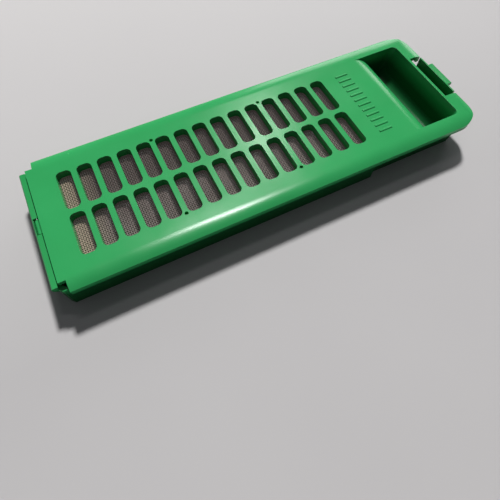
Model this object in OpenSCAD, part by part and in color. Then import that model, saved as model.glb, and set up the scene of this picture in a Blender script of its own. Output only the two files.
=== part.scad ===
// Lint filter cassette of a top-loading washing machine.
// X runs along the length: hinge lip at -X, finger pocket and latch at +X. Y is the width, Z is up.
// The origin is the middle of the underside.

/* [Overall] */
// Length from the hinge lip to the thumb tab
length = 212; // [212]
// Height of the closed cassette
height = 16; // [16]
// Width of the front cover
cover_w = 68.8; // [68.8]

/* [Front cover] */
// Thickness of the moulded plate
plate_t = 2; // [1.6:0.1:2.2]
// Flat width of the panel, between its sloping shoulders
flat_w = 55.8; // [55.8]
// How far each long edge drops below the panel
shoulder_drop = 1.4; // [1:0.1:1.6]
// Depth of the stiff block that the slots run through
grid_depth = 3.8; // [3.6:0.1:4]
// Height of the raised marks on the panel
mark_h = 0.35; // [0.2:0.05:0.5]

/* [Slots] */
// Columns of slots
slot_cols = 15; // [15]
// Distance between columns
slot_pitch = 9.2; // [9.2]
// Width of a slot
slot_w = 6.7; // [6.2:0.1:6.9]
// Length of a slot
slot_l = 20.8; // [20:0.1:21]
// Distance between the two rows
row_pitch = 23.44; // [23.44]
// Corner radius of a slot
slot_r = 2.4; // [1.5:0.1:3]

/* [Finger pocket] */
// Inside width of the pocket
pocket_w = 53.5; // [53.5]
// Wall thickness of the pocket
pocket_t = 1.3; // [1.2:0.1:1.4]
// Radius of the roll that leads into the pocket
roll_r = 12; // [11:0.5:12]
// Radius of the scoop between the pocket's floor and its end wall
scoop_r = 8; // [6:0.5:9]
// Corner radius of the pocket at its end wall, in plan
pocket_r = 2.5; // [1.5:0.5:3]

/* [Rear frame] */
// Half width of the frame beside the slots
frame_hw = 32.1; // [31.8:0.1:32.2]
// Half width of the frame beside the pocket
frame_end_hw = 29.9; // [29.8:0.1:30]
// Wall thickness of the frame
frame_t = 1.5; // [1.3:0.1:1.5]
// Corner radius of the frame at the latch end, in plan
frame_r = 3.5; // [2.5:0.5:3.5]
// Columns of inlet windows in the rear
inlet_cols = 9; // [9]

/* [Hinge and latch] */
// Radius of the hinge wire
wire_r = 0.5; // [0.5]
// Radial play of the wire in the cover's knuckle
wire_play = 0.05; // [0.02:0.01:0.08]
// Thickness of the latch tongue
tongue_t = 1.2; // [1.1:0.1:1.3]
// Width of the latch tongue
tongue_w = 27.4; // [27.4]
// Width of the thumb tab
tab_w = 15.8; // [15.8]

/* [Hidden] */
$fn = 48;
eps = 0.01;
wide = 200;
x_tip = -length / 2;
cover_hw = cover_w / 2;
flat_hw = flat_w / 2;

// Front cover, along X
x_end = x_tip + 3.5;
x_corner = x_tip + 6.6;
end_hw = 29.4;
x_rim = x_tip + 208.7;
rim_r = 11;
rim_t = 1.8;
x_notch = x_tip + 201.6;
notch_hw = 14.9;
rim_drop = 1;
rim_run = 5;
skirt_in = 32.8;
skirt_z = height - 3.7;
underside = height - plate_t;
x_mark = x_tip + 162;
mark_l = 7;
mark_w = 1.2;
mark_pitch = 3.6;
mark_count = 12;
rib_y = 29.2;
rib_t = 1;
rib_h = 2.4;

// Slots
x_slot = x_tip + 18.4;
x_last = x_slot + (slot_cols - 1) * slot_pitch;
grid_margin = 3.2;
grid_hw = 25.2;
grid_z = height - grid_depth;
bar_cols = [4.5, 10.5];
stake_y = 21.9;
stake_r = 0.75;
stake_play = 0.1;

// Pocket
x_roll = x_tip + 173.9;
pocket_hw = pocket_w / 2;
pocket_z = 1.6;
x_pocket = x_tip + 200.3;
x_pocket_low = x_tip + 195.2;
scoop_shift = 0.3;
pocket_lean = atan((x_pocket - x_pocket_low) / (height - pocket_z));
catch_z = 7;
catch_t = 1.2;
catch_hw = 10;
catch_out = 4.6;
x_catch = x_tip + 202.7;

// Net and its frame
net_t = 0.6;
net_inset = 0.6;
bar_w = 2.3;
net_frame_t = 1.6;
window_margin = 0.3;
stake_head_r = 1.05;
stake_head_t = 0.5;
stake_recess = 1.4;

// Rear frame
x_frame = x_tip + 2.3;
x_step = x_tip + 150.5;
frame_top = 13;
floor_t = 1.8;
x_cross = x_tip + 170.5;
x_wall_low = x_tip + 197.3;
wall_lean = 5;
lip_hw = 30;
lip_z = 14;
lip_under_z = 12.2;
lip_back = 2.6;
groove_z = 13.1;
inlet_w = 15;
inlet_l = 16.2;
inlet_pitch_y = 18.6;
inlet_rows = 3;
inlet_r = 1.6;

// Hinge
x_hinge = x_tip + 1.9;
z_hinge = 13.05;
knuckle_r = 0.95;
knuckle_hw = 3.6;
knuckle_gap = 0.3;
hole_y = 4.7;
wire_l = 17;

// Latch
x_tongue = x_tip + 207.6;
z_pivot = 1.6;
tongue_top = height - 0.4;
tongue_taper = 0.5;
tongue_gap = 0.4;
shelf_t = 2.6;
shelf_hw = 15.2;
shelf_end = x_tip + 210.4;
tab_top = height - 1;
tab_t = 1.5;
nib_z = catch_z + catch_t + 0.4;
nib_t = 1.7;
nib_out = 4.1;

// Drop of the panel's surface at a distance y from the middle
shoulder_w = cover_hw - flat_hw;
shoulder_r = (pow(shoulder_w, 2) + pow(shoulder_drop, 2)) / (2 * shoulder_drop);
function shoulder(y) = shoulder_r - sqrt(pow(shoulder_r, 2) - pow(max(0, abs(y) - flat_hw), 2));

// Drop of the rim's surface at a distance d from the rim's flat
rim_rr = (pow(rim_run, 2) + pow(rim_drop, 2)) / (2 * rim_drop);
function rim_fall(d) = rim_rr - sqrt(pow(rim_rr, 2) - pow(max(0, d), 2));

shoulder_steps = 8;
shoulder_ys = [for (i = [0:shoulder_steps]) flat_hw + shoulder_w * i / shoulder_steps];

module rounded(w, h, r) {
    square([w - 2 * r, h], center = true);
    square([w, h - 2 * r], center = true);
    for (sx = [-1, 1], sy = [-1, 1])
        translate([sx * (w / 2 - r), sy * (h / 2 - r)])
            circle(r = r);
}

// Extrudes an outline drawn in X and Z across the width, centred on Y
module across(width) {
    translate([0, width / 2, 0])
        rotate([90, 0, 0])
            linear_extrude(height = width)
                children();
}

// Extrudes an outline drawn in Y and Z along X
module along(x0, x1) {
    translate([x0, 0, 0])
        rotate([90, 0, 90])
            linear_extrude(height = x1 - x0)
                children();
}

module at_slots() {
    for (i = [0:slot_cols - 1], side = [-1, 1])
        translate([x_slot + i * slot_pitch, side * row_pitch / 2])
            children();
}

module at_stakes() {
    for (col = bar_cols, side = [-1, 1])
        translate([x_slot + col * slot_pitch, side * stake_y])
            children();
}

// Plan of the cover, with its corners cut back at the hinge end and round at the rim
module cover_plan() {
    difference() {
        union() {
            translate([x_corner, -cover_hw])
                square([x_rim - rim_r - x_corner, cover_w]);
            translate([x_end, -end_hw])
                square([x_rim - rim_r - x_end, 2 * end_hw]);
            translate([x_rim - 2 * rim_r, -cover_hw + rim_r])
                square([2 * rim_r, cover_w - 2 * rim_r]);
            for (side = [-1, 1])
                translate([x_rim - rim_r, side * (cover_hw - rim_r)])
                    circle(r = rim_r);
        }
        translate([x_notch, -notch_hw])
            square([wide, 2 * notch_hw]);
    }
}

// Cross-section of the cover: crowned plate with a short skirt at each side
module cover_section() {
    top = [for (y = shoulder_ys) [y, height - shoulder(y)]];
    inner_ys = [for (i = [shoulder_steps:-1:0]) flat_hw + (skirt_in - flat_hw) * i / shoulder_steps];
    under = [for (y = inner_ys) [y, underside - shoulder(y)]];
    half = concat([[0, height]], top, [[cover_hw, skirt_z], [skirt_in, skirt_z]], under, [[0, underside]]);
    polygon(half);
    mirror([1, 0])
        polygon(half);
}

// Skirt that carries the side skirts round the rim's corners to the notch, cut to the plan by its user
module rim_skirt() {
    inner_r = rim_r - rim_t;
    translate([0, 0, skirt_z])
        linear_extrude(height = underside - skirt_z + eps)
            difference() {
                translate([x_rim - rim_r, -cover_hw - 1])
                    square([rim_r + 1, cover_w + 2]);
                translate([x_rim - rim_r - 1, -cover_hw + rim_t])
                    square([1, cover_w - 2 * rim_t]);
                translate([x_rim - rim_r - 1, -cover_hw + rim_r])
                    square([inner_r + 1, cover_w - 2 * rim_r]);
                for (side = [-1, 1])
                    translate([x_rim - rim_r, side * (cover_hw - rim_r)])
                        circle(r = inner_r);
            }
}

// Side profile that rounds the rim's free end
module rim_profile() {
    steps = 6;
    fall = [for (i = [0:steps]) [x_rim - rim_run + rim_run * i / steps, height - rim_fall(rim_run * i / steps)]];
    polygon(concat([[x_tip, height]], fall, [[x_rim, 0], [x_tip, 0]]));
}

// Outline in X and Z of the space inside the pocket, grown by g, with its end wall moved out by past
module pocket_space(g, past) {
    r = roll_r - g;
    rs = scoop_r + g;
    z0 = pocket_z - g;
    z1 = g > 0 ? height : height + 1;
    x_scoop = x_pocket_low + g + scoop_shift - rs * tan((90 - pocket_lean) / 2);
    roll = [for (a = [0:7.5:90]) [x_roll + r * sin(a), height - roll_r + r * cos(a)]];
    scoop = [for (i = [0:8]) let (a = i * (90 - pocket_lean) / 8) [x_scoop + rs * sin(a), z0 + rs - rs * cos(a)]];
    x_wall = x_pocket + g + past;
    wall = [
        [x_wall + (z0 + rs * (1 - sin(pocket_lean)) - height) * tan(pocket_lean), z0 + rs * (1 - sin(pocket_lean))],
        [x_wall + (z1 - height) * tan(pocket_lean), z1]
    ];
    polygon(concat(roll, [[x_roll + r, z0]], scoop, past > 0 ? wall : [wall[1]], g > 0 ? [] : [[x_roll, z1]]));
}

module pocket_body() {
    across(2 * (pocket_hw + pocket_t))
        pocket_space(pocket_t, 0);
}

// Leaning block that gives the pocket its side walls, its end wall and the round corners between them
module pocket_corners() {
    reach = x_pocket - x_roll + 2 * height;
    arc = [for (a = [0:18:90]) [-pocket_r + pocket_r * sin(a), pocket_hw - pocket_r + pocket_r * cos(a)]];
    half = concat([[-reach, pocket_hw]], arc);
    mirrored = [for (i = [len(half) - 1:-1:0]) [half[i][0], -half[i][1]]];
    translate([x_pocket, 0, height])
        rotate([0, pocket_lean, 0])
            linear_extrude(height = 4 * height, center = true)
                polygon(concat(half, mirrored));
}

module pocket_cut() {
    intersection() {
        across(2 * pocket_hw + 2)
            pocket_space(0, 0.5);
        pocket_corners();
    }
}

// Knuckle and arm that join the cover to the hinge wire
module cover_knuckle() {
    across(2 * knuckle_hw)
        translate([x_hinge, z_hinge]) {
            circle(r = knuckle_r);
            polygon([[0, -knuckle_r], [0.9, -0.3], [4.2, 0.25], [4.2, 1.3], [1.7, 1.3], [1.2, 0.95], [0, 0.9]]);
        }
}

// Row of plain raised bars across the panel
module marks() {
    for (i = [0:mark_count - 1])
        translate([x_mark, (i - (mark_count - 1) / 2) * mark_pitch, height])
            cube([mark_l, mark_w, 2 * mark_h], center = true);
}

module front_cover() {
    color([0.13, 0.6, 0.25])
        difference() {
            union() {
                intersection() {
                    linear_extrude(height = 2 * height)
                        cover_plan();
                    union() {
                        along(x_tip, x_rim + 1)
                            cover_section();
                        rim_skirt();
                    }
                    across(wide)
                        rim_profile();
                }
                translate([x_slot - slot_w / 2 - grid_margin, -grid_hw, grid_z])
                    cube([x_last - x_slot + slot_w + 2 * grid_margin, 2 * grid_hw, grid_depth - plate_t + eps]);
                for (side = [-1, 1])
                    translate([x_corner + 2, side * rib_y - (side < 0 ? rib_t : 0), underside - rib_h])
                        cube([x_step - x_corner - 6, rib_t, rib_h + eps]);
                pocket_body();
                translate([x_catch - catch_out, -catch_hw, catch_z])
                    cube([catch_out, 2 * catch_hw, catch_t]);
                marks();
                cover_knuckle();
            }
            pocket_cut();
            linear_extrude(height = 2 * height)
                at_slots()
                    rounded(slot_w, slot_l, slot_r);
            linear_extrude(height = 2 * height)
                at_stakes()
                    circle(r = stake_r + stake_play);
            across(wide)
                translate([x_hinge, z_hinge])
                    circle(r = wire_r + wire_play);
        }
}

net_hx = (x_last - x_slot + slot_w) / 2 + grid_margin - net_inset;
net_hy = grid_hw - net_inset;
net_mid = (x_slot + x_last) / 2;
net_base = grid_z - net_t;

module filter_net() {
    color([0.3, 0.27, 0.25])
        translate([0, 0, net_base])
            linear_extrude(height = net_t)
                difference() {
                    translate([net_mid, 0])
                        square([2 * net_hx, 2 * net_hy], center = true);
                    at_stakes()
                        circle(r = stake_r + stake_play);
                }
}

// Ring and bars that hold the net against the grid
module net_frame() {
    edge = slot_w / 2 + window_margin;
    stops = concat([x_slot - edge], [for (c = bar_cols) x_slot + c * slot_pitch], [x_last + edge]);
    row_hw = row_pitch / 2 + slot_l / 2 + window_margin;
    mid_hw = row_pitch / 2 - slot_l / 2 - window_margin;
    color([0.13, 0.6, 0.25])
        translate([0, 0, net_base - net_frame_t])
            linear_extrude(height = net_frame_t)
                difference() {
                    translate([net_mid, 0])
                        square([2 * net_hx, 2 * net_hy], center = true);
                    for (i = [0:2], side = [-1, 1]) {
                        x0 = stops[i] + (i == 0 ? 0 : bar_w / 2);
                        x1 = stops[i + 1] - (i == 2 ? 0 : bar_w / 2);
                        translate([(x0 + x1) / 2, side * (row_hw + mid_hw) / 2])
                            square([x1 - x0, row_hw - mid_hw], center = true);
                    }
                    at_stakes()
                        circle(r = stake_r);
                }
}

// Pins pushed up through the net frame and the net into the cover
module net_stake_pins() {
    base = net_base - net_frame_t - stake_head_t;
    color([0.13, 0.6, 0.25])
        translate([0, 0, base])
            at_stakes() {
                cylinder(r = stake_head_r, h = stake_head_t);
                cylinder(r = stake_r, h = height - stake_recess - base);
            }
}

// Plan of the frame's outside, shrunk by g
module frame_plan(g) {
    r = frame_r - g;
    corner = 1.6;
    hull_x = x_wall_low + wall_lean + frame_t - g;
    polygon([
        [x_frame + g, -frame_hw + g + corner],
        [x_frame + g + corner, -frame_hw + g],
        [x_step, -frame_hw + g],
        [x_step + frame_hw - frame_end_hw, -frame_end_hw + g],
        [hull_x - r, -frame_end_hw + g],
        for (a = [15:15:75]) [hull_x - r + r * sin(a), -frame_end_hw + g + r - r * cos(a)],
        [hull_x, -frame_end_hw + g + r],
        [hull_x, frame_end_hw - g - r],
        for (a = [75:-15:15]) [hull_x - r + r * sin(a), frame_end_hw - g - r + r * cos(a)],
        [hull_x - r, frame_end_hw - g],
        [x_step + frame_hw - frame_end_hw, frame_end_hw - g],
        [x_step, frame_hw - g],
        [x_frame + g + corner, frame_hw - g],
        [x_frame + g, frame_hw - g - corner]
    ]);
}

// Side profile of the frame: the end wall leans outwards beside the pocket
module frame_profile(g) {
    polygon([
        [x_frame, 0],
        [x_wall_low + g, 0],
        [x_wall_low + g + wall_lean, frame_top],
        [x_frame, frame_top]
    ]);
}

// Lip that hooks into the washing machine, with the groove beside it
module lip() {
    across(2 * lip_hw)
        polygon([
            [x_frame, lip_under_z - 2.6],
            [x_tip, lip_under_z],
            [x_tip, lip_z - 0.5],
            [x_tip + 0.5, lip_z],
            [x_tip + lip_back, lip_z],
            [x_tip + lip_back, groove_z],
            [x_frame + 2, groove_z],
            [x_frame + 2, lip_under_z - 2.6]
        ]);
}

module inlet_windows() {
    x0 = x_frame + frame_t + 3;
    pitch = (x_cross - 3 - x0) / inlet_cols;
    for (i = [0:inlet_cols - 1], j = [0:inlet_rows - 1])
        translate([x0 + (i + 0.5) * pitch, (j - (inlet_rows - 1) / 2) * inlet_pitch_y])
            rounded(inlet_w, inlet_l, inlet_r);
}

module rear_frame() {
    bay_x = x_cross + frame_t + 2.6;
    color([0.11, 0.52, 0.22])
        difference() {
            union() {
                intersection() {
                    linear_extrude(height = frame_top)
                        frame_plan(0);
                    across(wide)
                        frame_profile(frame_t);
                }
                lip();
                translate([x_wall_low, -shelf_hw, 0])
                    cube([shelf_end - x_wall_low, 2 * shelf_hw, shelf_t]);
            }
            // Lint chamber
            intersection() {
                translate([0, 0, floor_t])
                    linear_extrude(height = height)
                        frame_plan(frame_t);
                translate([x_tip, -wide / 2, 0])
                    cube([x_cross - x_tip, wide, 2 * height]);
            }
            // Bay around the finger pocket
            intersection() {
                translate([0, 0, -1])
                    linear_extrude(height = 2 * height)
                        frame_plan(frame_t);
                across(wide)
                    polygon([
                        [bay_x, -1],
                        [x_wall_low - wall_lean / frame_top, -1],
                        [x_wall_low + wall_lean * height / frame_top, height],
                        [x_cross + frame_t, height],
                        [x_cross + frame_t, floor_t],
                        [bay_x, floor_t]
                    ]);
            }
            translate([0, 0, -1])
                linear_extrude(height = floor_t + 2)
                    inlet_windows();
            // Room for the cover's catch
            translate([x_wall_low + 0.5, -catch_hw - 1, catch_z - 1.2])
                cube([20, 2 * catch_hw + 2, height]);
            // Slot in the lip for the cover's knuckle, with a finger of extra room at its back end
            translate([0, (hole_y - knuckle_hw - knuckle_gap) / 2, 0])
                across(knuckle_hw + knuckle_gap + hole_y) {
                    translate([x_hinge, z_hinge])
                        circle(r = knuckle_r + knuckle_gap);
                    translate([x_hinge, z_hinge - 0.55])
                        square([4.6, 4]);
                    translate([x_hinge - knuckle_r - knuckle_gap, z_hinge])
                        square([3, 4]);
                }
            across(wire_l)
                translate([x_hinge, z_hinge])
                    circle(r = wire_r);
            // Groove that holds the root of the latch tongue
            translate([x_tongue - tongue_gap, -tongue_w / 2 - tongue_gap, z_pivot - tongue_t / 2 - tongue_gap])
                cube([tongue_t + 2 * tongue_gap, tongue_w + 2 * tongue_gap, height]);
        }
}

module hinge_wire() {
    color([0.75, 0.76, 0.78])
        across(wire_l)
            translate([x_hinge, z_hinge])
                circle(r = wire_r);
}

// Springy tongue with a thumb tab outside and a nib inside
module latch_tongue() {
    x_mid = x_tongue + tongue_t / 2;
    color([0.13, 0.6, 0.25])
        union() {
            across(tongue_w) {
                translate([x_mid, z_pivot])
                    circle(r = tongue_t / 2);
                polygon([
                    [x_tongue, z_pivot],
                    [x_tongue, tongue_top],
                    [x_tongue + tongue_t - tongue_taper, tongue_top],
                    [x_tongue + tongue_t, tongue_top - tongue_taper],
                    [x_tongue + tongue_t, z_pivot]
                ]);
            }
            across(2 * catch_hw)
                polygon([
                    [x_tongue + eps, nib_z],
                    [x_tongue - nib_out, nib_z],
                    [x_tongue - nib_out, nib_z + 0.5],
                    [x_tongue + eps, nib_z + nib_t]
                ]);
            across(tab_w)
                polygon([
                    [x_tongue + tongue_t - eps, tab_top],
                    [-x_tip - 0.5, tab_top],
                    [-x_tip, tab_top - 0.5],
                    [-x_tip, tab_top - tab_t],
                    [x_tongue + tongue_t - eps, tab_top - tab_t - 1.2]
                ]);
        }
}

front_cover();
filter_net();
net_frame();
net_stake_pins();
rear_frame();
hinge_wire();
latch_tongue();
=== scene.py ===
# Lint filter cassette: looks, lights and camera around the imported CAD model.
# Everything is in metres, in the frame of the CAD model. MM turns millimetres into metres.
import math

import bmesh
import bpy
from mathutils import Euler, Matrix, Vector


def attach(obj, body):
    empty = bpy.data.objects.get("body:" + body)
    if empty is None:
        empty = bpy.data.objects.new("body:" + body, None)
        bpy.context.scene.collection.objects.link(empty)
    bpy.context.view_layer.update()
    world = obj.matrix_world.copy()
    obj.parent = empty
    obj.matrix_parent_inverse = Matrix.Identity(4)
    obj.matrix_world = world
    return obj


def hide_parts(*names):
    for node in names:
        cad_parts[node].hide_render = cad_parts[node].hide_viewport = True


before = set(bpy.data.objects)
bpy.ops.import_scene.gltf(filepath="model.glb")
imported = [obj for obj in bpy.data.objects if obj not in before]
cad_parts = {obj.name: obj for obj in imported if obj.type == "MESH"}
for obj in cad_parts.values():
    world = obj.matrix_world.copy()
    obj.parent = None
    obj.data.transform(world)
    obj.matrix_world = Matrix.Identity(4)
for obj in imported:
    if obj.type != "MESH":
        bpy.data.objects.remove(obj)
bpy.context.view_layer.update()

MM = 0.001
scene = bpy.context.scene


# ---------------------------------------------------------------- camera

def add_camera():
    """Stands at the front left, looking down on the slotted cover."""
    data = bpy.data.cameras.new("camera")
    data.sensor_width = 36
    data.lens = 27.93
    data.clip_start = 0.01
    cam = bpy.data.objects.new("camera", data)
    cam.location = Vector((-60.93, -109.58, 155.54)) * MM
    cam.rotation_euler = Euler([math.radians(a) for a in (26.002, -0.429, -26.195)])
    scene.collection.objects.link(cam)
    scene.camera = cam


# ---------------------------------------------------------------- floor and light

def add_floor():
    """Pale paper, with painted light making it lighter toward the back."""
    mesh = bpy.data.meshes.new("floor")
    half = 3.0
    corners = [(-half, -half, 0), (half, -half, 0), (half, half, 0), (-half, half, 0)]
    mesh.from_pydata(corners, [], [(0, 1, 2, 3)])
    floor = bpy.data.objects.new("floor", mesh)
    scene.collection.objects.link(floor)
    mat, nodes, links, bsdf = new_material("floor_paper")
    bsdf.inputs["Roughness"].default_value = 0.75
    noise = add_noise(nodes, links, scale=9, detail=3)
    # painted light: the paper lightens toward the back
    painted_light_to_back = ramp(nodes, links, position(nodes, links)["Y"], -0.05, 0.30)
    near = mix_colours(nodes, links, noise, (0.46, 0.453, 0.466), (0.50, 0.493, 0.506))
    links.new(mix_colours(nodes, links, painted_light_to_back, near, (0.70, 0.69, 0.70)), bsdf.inputs["Base Color"])
    mesh.materials.append(mat)


def aim(obj, target):
    obj.rotation_euler = (Vector(target) - obj.location).to_track_quat("-Z", "Y").to_euler()


def add_area(name, direction, distance, size, power):
    """A rectangular lamp that faces the cassette from direction."""
    data = bpy.data.lights.new(name, "AREA")
    data.shape = "RECTANGLE"
    data.size, data.size_y = size
    data.energy = power
    lamp = bpy.data.objects.new(name, data)
    lamp.location = Vector(direction).normalized() * distance
    aim(lamp, (0, 0, 0.01))
    scene.collection.objects.link(lamp)
    return lamp


def add_sun(name, energy):
    """Sunlight from the back right, a little above the cover's far corner."""
    sun = bpy.data.lights.new(name, "SUN")
    sun.energy = energy
    sun.angle = math.radians(7)
    sun.color = (1.0, 0.985, 0.96)
    lamp = bpy.data.objects.new(name, sun)
    lamp.location = Vector((0.44, 0.80, 1.0))
    aim(lamp, (0, 0, 0))
    scene.collection.objects.link(lamp)
    return lamp


def add_lights():
    # the key lights, while glint and overhead only make highlights
    add_sun("key", 4.1).visible_glossy = False
    add_sun("glint", 0.22).visible_diffuse = False
    overhead = add_area("overhead", (0.14, 0.30, 0.94), 1.0, (0.26, 0.06), 6.0)
    overhead.visible_diffuse = False
    add_area("back_window", (0.66, 0.74, 0.22), 1.6, (1.2, 0.6), 5.0)
    world = bpy.data.worlds.new("studio")
    scene.world = world
    world.use_nodes = True
    sky = world.node_tree.nodes["Background"]
    sky.inputs["Color"].default_value = (0.95, 0.97, 1.0, 1)
    sky.inputs["Strength"].default_value = 0.09
    scene.view_settings.view_transform = "Standard"


# ---------------------------------------------------------------- material helpers

def new_material(name):
    mat = bpy.data.materials.new(name)
    mat.use_nodes = True
    nodes, links = mat.node_tree.nodes, mat.node_tree.links
    return mat, nodes, links, nodes["Principled BSDF"]


def object_coords(nodes, links, stretch=(1, 1, 1)):
    coords = nodes.new("ShaderNodeTexCoord")
    mapping = nodes.new("ShaderNodeMapping")
    mapping.inputs["Scale"].default_value = stretch
    links.new(coords.outputs["Object"], mapping.inputs["Vector"])
    return mapping.outputs["Vector"]


def position(nodes, links):
    """The X, Y and Z of the shaded point, in metres."""
    parts = nodes.new("ShaderNodeSeparateXYZ")
    links.new(object_coords(nodes, links), parts.inputs["Vector"])
    return parts.outputs


def add_noise(nodes, links, scale, detail=2, roughness=0.5, stretch=(1, 1, 1)):
    noise = nodes.new("ShaderNodeTexNoise")
    noise.inputs["Scale"].default_value = scale
    noise.inputs["Detail"].default_value = detail
    noise.inputs["Roughness"].default_value = roughness
    links.new(object_coords(nodes, links, stretch), noise.inputs["Vector"])
    return noise.outputs["Fac"]


def ramp(nodes, links, value, low, high, to_low=0.0, to_high=1.0):
    """Maps value from low..high to to_low..to_high, clamped."""
    node = nodes.new("ShaderNodeMapRange")
    node.inputs["From Min"].default_value = low
    node.inputs["From Max"].default_value = high
    node.inputs["To Min"].default_value = to_low
    node.inputs["To Max"].default_value = to_high
    links.new(value, node.inputs["Value"])
    return node.outputs["Result"]


def mix_colours(nodes, links, factor, first, second):
    """Mixes two colours, each a tuple or a socket. Sockets 6, 7 and 2 are the node's colour ones."""
    node = nodes.new("ShaderNodeMix")
    node.data_type = "RGBA"
    for socket, colour in ((node.inputs[6], first), (node.inputs[7], second)):
        if isinstance(colour, tuple):
            socket.default_value = (*colour, 1)
        else:
            links.new(colour, socket)
    links.new(factor, node.inputs[0])
    return node.outputs[2]


def add_bump(nodes, links, heights, bsdf):
    """Stacks bump nodes: heights is a list of (value, distance in mm)."""
    normal = None
    for value, distance in heights:
        bump = nodes.new("ShaderNodeBump")
        bump.inputs["Distance"].default_value = distance * MM
        links.new(value, bump.inputs["Height"])
        if normal:
            links.new(normal, bump.inputs["Normal"])
        normal = bump.outputs["Normal"]
    links.new(normal, bsdf.inputs["Normal"])


# ---------------------------------------------------------------- materials

def green_plastic(name, base, dark, roughness):
    """Glossy moulded plastic with slow ripple, fine grain and faint scuffs. Lower down its colour darkens and its
    reflections dim: painted shade on the tray's sides and in the pocket.
    """
    mat, nodes, links, bsdf = new_material(name)
    bsdf.inputs["IOR"].default_value = 1.5
    cloud = ramp(nodes, links, add_noise(nodes, links, 38, 4), 0.3, 0.7)
    clean = mix_colours(nodes, links, cloud, dark, base)
    z = position(nodes, links)["Z"]
    # painted shade: below 13.6 mm the colour darkens, reaching a third of the dark tone at 8.5 mm and lower
    low_shade_mask = ramp(nodes, links, z, 8.5 * MM, 13.6 * MM)
    # painted shade: reflections dim below 15 mm
    dimmed_low_reflection = ramp(nodes, links, z, 12.6 * MM, 15 * MM, 0.06, 0.5)
    links.new(dimmed_low_reflection, bsdf.inputs["Specular IOR Level"])
    painted_shade_colour = tuple(0.32 * c for c in dark)
    links.new(mix_colours(nodes, links, low_shade_mask, painted_shade_colour, clean), bsdf.inputs["Base Color"])
    scuffs = add_noise(nodes, links, 90, 4, 0.55)
    wear_and_painted_light = ramp(nodes, links, scuffs, 0.35, 0.75, roughness - 0.02, roughness + 0.05)
    links.new(wear_and_painted_light, bsdf.inputs["Roughness"])
    ripple = add_noise(nodes, links, 26, 1)
    grain = add_noise(nodes, links, 1500, 2)
    add_bump(nodes, links, [(ripple, 0.2), (grain, 0.004)], bsdf)
    return mat


def net_yarn():
    """Warm grey yarn, darkened under the back slots as painted shade, and turning beige at the hinge end as painted
    light from the lit floor seen through it.
    """
    mat, nodes, links, bsdf = new_material("net_yarn")
    cloud = ramp(nodes, links, add_noise(nodes, links, 60, 4), 0.35, 0.65)
    colour = mix_colours(nodes, links, cloud, (0.115, 0.092, 0.088), (0.175, 0.145, 0.138))
    place = position(nodes, links)
    # painted shade: the yarn under the back slots is darkened
    painted_shade_back_row = ramp(nodes, links, place["Y"], -8 * MM, 8 * MM)
    colour = mix_colours(nodes, links, painted_shade_back_row, colour, (0.075, 0.058, 0.055))
    # painted light: the yarn turns beige at the hinge end, standing in for the lit floor seen through it
    wear_and_painted_light = ramp(nodes, links, place["X"], -76 * MM, -90 * MM)
    links.new(mix_colours(nodes, links, wear_and_painted_light, colour, (0.33, 0.27, 0.20)), bsdf.inputs["Base Color"])
    bsdf.inputs["Roughness"].default_value = 0.55
    # light that comes through the yarn from behind
    bsdf.inputs["Emission Color"].default_value = (0.030, 0.024, 0.023, 1)
    bsdf.inputs["Emission Strength"].default_value = 1.0
    return mat


def drawn_steel():
    mat, nodes, links, bsdf = new_material("drawn_steel")
    bsdf.inputs["Metallic"].default_value = 1.0
    bsdf.inputs["Base Color"].default_value = (0.55, 0.55, 0.56, 1)
    lines = add_noise(nodes, links, 900, 3, 0.6, (1, 0.05, 1))
    links.new(ramp(nodes, links, lines, 0.3, 0.7, 0.22, 0.4), bsdf.inputs["Roughness"])
    return mat


# ---------------------------------------------------------------- moulded pieces

# Where the CAD model's features are, in millimetres, to choose the edges that get rounded
HEIGHT = 16.0
SLOT_X = -87.6  # middle of the first column of slots
SLOT_PITCH = 9.2
SLOT_LAST_X = SLOT_X + 14 * SLOT_PITCH
SLOT_REACH = 4.0  # from a column's middle to past its side
SLOT_Y = 22.4  # just past the slots' outer ends
STAKE_Y = 21.9
STAKE_COLS = (4.5, 10.5)  # the small holes' places, in slot pitches
STAKE_REACH = 1.2
END_X = -93.6  # right of the hinge end's edges
ROLL_X = 68.1  # just past the start of the roll
POCKET_X = 94.9  # between the pocket's edge and the notch's
POCKET_Y = 27.3  # just past the pocket's sides
COVER_Y = 34.3  # just short of the cover's sides
RIM_X = 91.7  # centres of the rim's round corners
RIM_Y = 23.4
RIM_R = 11.0
SIDE_Z = 13.6  # below the shoulder's outer edge, above the skirt's lower one
ROUND_ANGLE = math.radians(28)  # edges flatter than this stay as they are
SHARP_ANGLE = math.radians(38)  # edges sharper than this are shaded as sharp


def clean_copy(node):
    """The CAD node's surface with shared vertices and large flat faces, free of its stored normals."""
    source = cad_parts[node]
    bm = bmesh.new()
    bm.from_mesh(source.data)
    bm.transform(source.matrix_world)
    bmesh.ops.remove_doubles(bm, verts=bm.verts, dist=0.002 * MM)
    bmesh.ops.dissolve_limit(bm, angle_limit=math.radians(0.3), verts=bm.verts, edges=bm.edges)
    return bm


def round_edges(bm, chosen, radius, segments):
    """Rounds the convex edges that chosen(middle in mm, edge) accepts."""
    edges = []
    for edge in bm.edges:
        if len(edge.link_faces) != 2 or edge.calc_face_angle_signed() < ROUND_ANGLE:
            continue
        middle = (edge.verts[0].co + edge.verts[1].co) / (2 * MM)
        if chosen(middle, edge):
            edges.append(edge)
    bmesh.ops.bevel(
        bm, geom=edges, offset=radius * MM, offset_type="OFFSET", segments=segments, profile=0.5,
        affect="EDGES", clamp_overlap=True,
    )


def on_top(edge):
    return all(v.co.z > (HEIGHT - 0.01) * MM for v in edge.verts)


def near_stake(p):
    return abs(abs(p.y) - STAKE_Y) < STAKE_REACH and any(
        abs(p.x - SLOT_X - col * SLOT_PITCH) < STAKE_REACH for col in STAKE_COLS
    )


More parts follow.
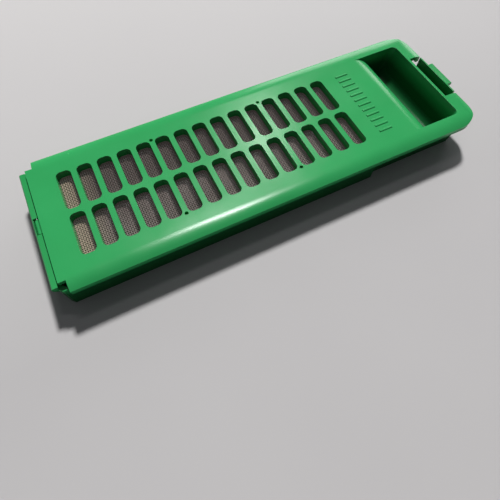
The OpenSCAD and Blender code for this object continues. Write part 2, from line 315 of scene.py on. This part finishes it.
def slot_loop(p, edge):
    along = SLOT_X - SLOT_REACH < p.x < SLOT_LAST_X + SLOT_REACH
    return on_top(edge) and along and abs(p.y) < SLOT_Y and not near_stake(p)


def stake_loop(p, edge):
    return on_top(edge) and near_stake(p)


def pocket_loop(p, edge):
    return on_top(edge) and ROLL_X < p.x < POCKET_X and abs(p.y) < POCKET_Y


def mark_loop(p, edge):
    return all(v.co.z > (HEIGHT + 0.1) * MM for v in edge.verts)


def side_loop(p, edge):
    """The shoulder's outer edge, from the cut-back corners round the rim to the notch."""
    low, high = sorted(v.co.z / MM for v in edge.verts)
    from_centre = math.hypot(p.x - RIM_X, max(abs(p.y) - RIM_Y, 0))
    outside = abs(p.y) > COVER_Y or (p.x > RIM_X and from_centre > RIM_R - 0.1)
    return low > SIDE_Z and outside and high - low < 0.9


def end_loop(p, edge):
    """The edges of the hinge end and of the notch."""
    return p.z > HEIGHT - 3 and (p.x < END_X or p.x > POCKET_X + 0.1) and abs(p.y) < COVER_Y


def finish_piece(bm, name, node, body, mat):
    """Makes the object, with smooth shading that stays flat on flat faces."""
    mesh = bpy.data.meshes.new(name)
    bm.to_mesh(mesh)
    bm.free()
    mesh.shade_smooth()
    mesh.set_sharp_from_angle(angle=SHARP_ANGLE)
    mesh.materials.append(mat)
    piece = bpy.data.objects.new(name, mesh)
    scene.collection.objects.link(piece)
    normals = piece.modifiers.new("normals", "WEIGHTED_NORMAL")
    normals.keep_sharp = True
    normals.weight = 50
    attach(piece, body)
    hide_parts(node)
    return piece


def add_cover(mat):
    bm = clean_copy("front_cover")
    round_edges(bm, slot_loop, 0.7, 4)
    round_edges(bm, stake_loop, 0.2, 2)
    round_edges(bm, pocket_loop, 0.8, 4)
    round_edges(bm, mark_loop, 0.3, 3)
    round_edges(bm, end_loop, 0.3, 3)
    round_edges(bm, side_loop, 1.2, 5)
    return finish_piece(bm, "cover_shell", "front_cover", "cover", mat)


def add_tray(mat):
    bm = clean_copy("rear_frame")
    round_edges(bm, lambda p, edge: edge.calc_length() > 1 * MM, 0.3, 2)
    return finish_piece(bm, "tray_shell", "rear_frame", "frame", mat)


def add_tongue(mat):
    bm = clean_copy("latch_tongue")
    round_edges(bm, lambda p, edge: True, 0.25, 2)
    return finish_piece(bm, "tongue_shell", "latch_tongue", "latch", mat)


# ---------------------------------------------------------------- net, in millimetres

NET_X = (-93.55, 47.15)
NET_Y = 24.6  # half its width
NET_Z = 11.9
THREAD_PITCH = 0.92
THREAD_HALF = (0.29, 0.08)  # half a thread's width and thickness
WAVE = 0.15  # how far a thread rises and dips at the crossings


def add_thread(verts, faces, start, step, count, across, phase):
    """A flat thread that steps from crossing to crossing, over one and under the next."""
    half, thick = THREAD_HALF
    base = len(verts)
    for i in range(count):
        middle = start + step * i
        lift = WAVE if (i + phase) % 2 else -WAVE
        for a, b in ((-half, 0), (0, thick), (half, 0), (0, -thick)):
            verts.append((middle + across * a + Vector((0, 0, lift + b))) * MM)
    for i in range(count - 1):
        for k in range(4):
            a = base + 4 * i + k
            b = base + 4 * i + (k + 1) % 4
            faces.append((a, b, b + 4, a + 4))
    last = base + 4 * (count - 1)
    faces.append((base + 3, base + 2, base + 1, base))
    faces.append((last, last + 1, last + 2, last + 3))


def add_net(mat):
    cols = int((NET_X[1] - NET_X[0] - 2 * THREAD_HALF[0]) / THREAD_PITCH) + 1
    rows = int((2 * NET_Y - 2 * THREAD_HALF[0]) / THREAD_PITCH) + 1
    x0 = (NET_X[0] + NET_X[1] - (cols - 1) * THREAD_PITCH) / 2
    y0 = -(rows - 1) * THREAD_PITCH / 2
    ex, ey = Vector((1, 0, 0)), Vector((0, 1, 0))
    verts, faces = [], []
    for j in range(rows):
        add_thread(verts, faces, Vector((x0, y0 + j * THREAD_PITCH, NET_Z)), ex * THREAD_PITCH, cols, ey, j)
    for i in range(cols):
        add_thread(verts, faces, Vector((x0 + i * THREAD_PITCH, y0, NET_Z)), ey * THREAD_PITCH, rows, ex, i + 1)
    mesh = bpy.data.meshes.new("woven_net")
    mesh.from_pydata(verts, [], faces)
    mesh.shade_smooth()
    mesh.materials.append(mat)
    net = bpy.data.objects.new("woven_net", mesh)
    scene.collection.objects.link(net)
    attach(net, "cover")
    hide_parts("filter_net")
    return net


# ---------------------------------------------------------------- CAD nodes that stay visible

def give_material(obj, mat):
    if obj.data.materials:
        for i in range(len(obj.data.materials)):
            obj.data.materials[i] = mat
    else:
        obj.data.materials.append(mat)


def dress_pieces():
    cover = green_plastic("cover_green", (0.032, 0.375, 0.112), (0.028, 0.34, 0.098), 0.23)
    tray = green_plastic("frame_green", (0.028, 0.34, 0.098), (0.024, 0.31, 0.085), 0.30)
    add_cover(cover)
    add_tray(tray)
    add_tongue(tray)
    add_net(net_yarn())
    give_material(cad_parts["net_frame"], cover)
    give_material(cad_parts["net_stake_pins"], cover)
    give_material(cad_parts["hinge_wire"], drawn_steel())


add_camera()
add_floor()
add_lights()
dress_pieces()
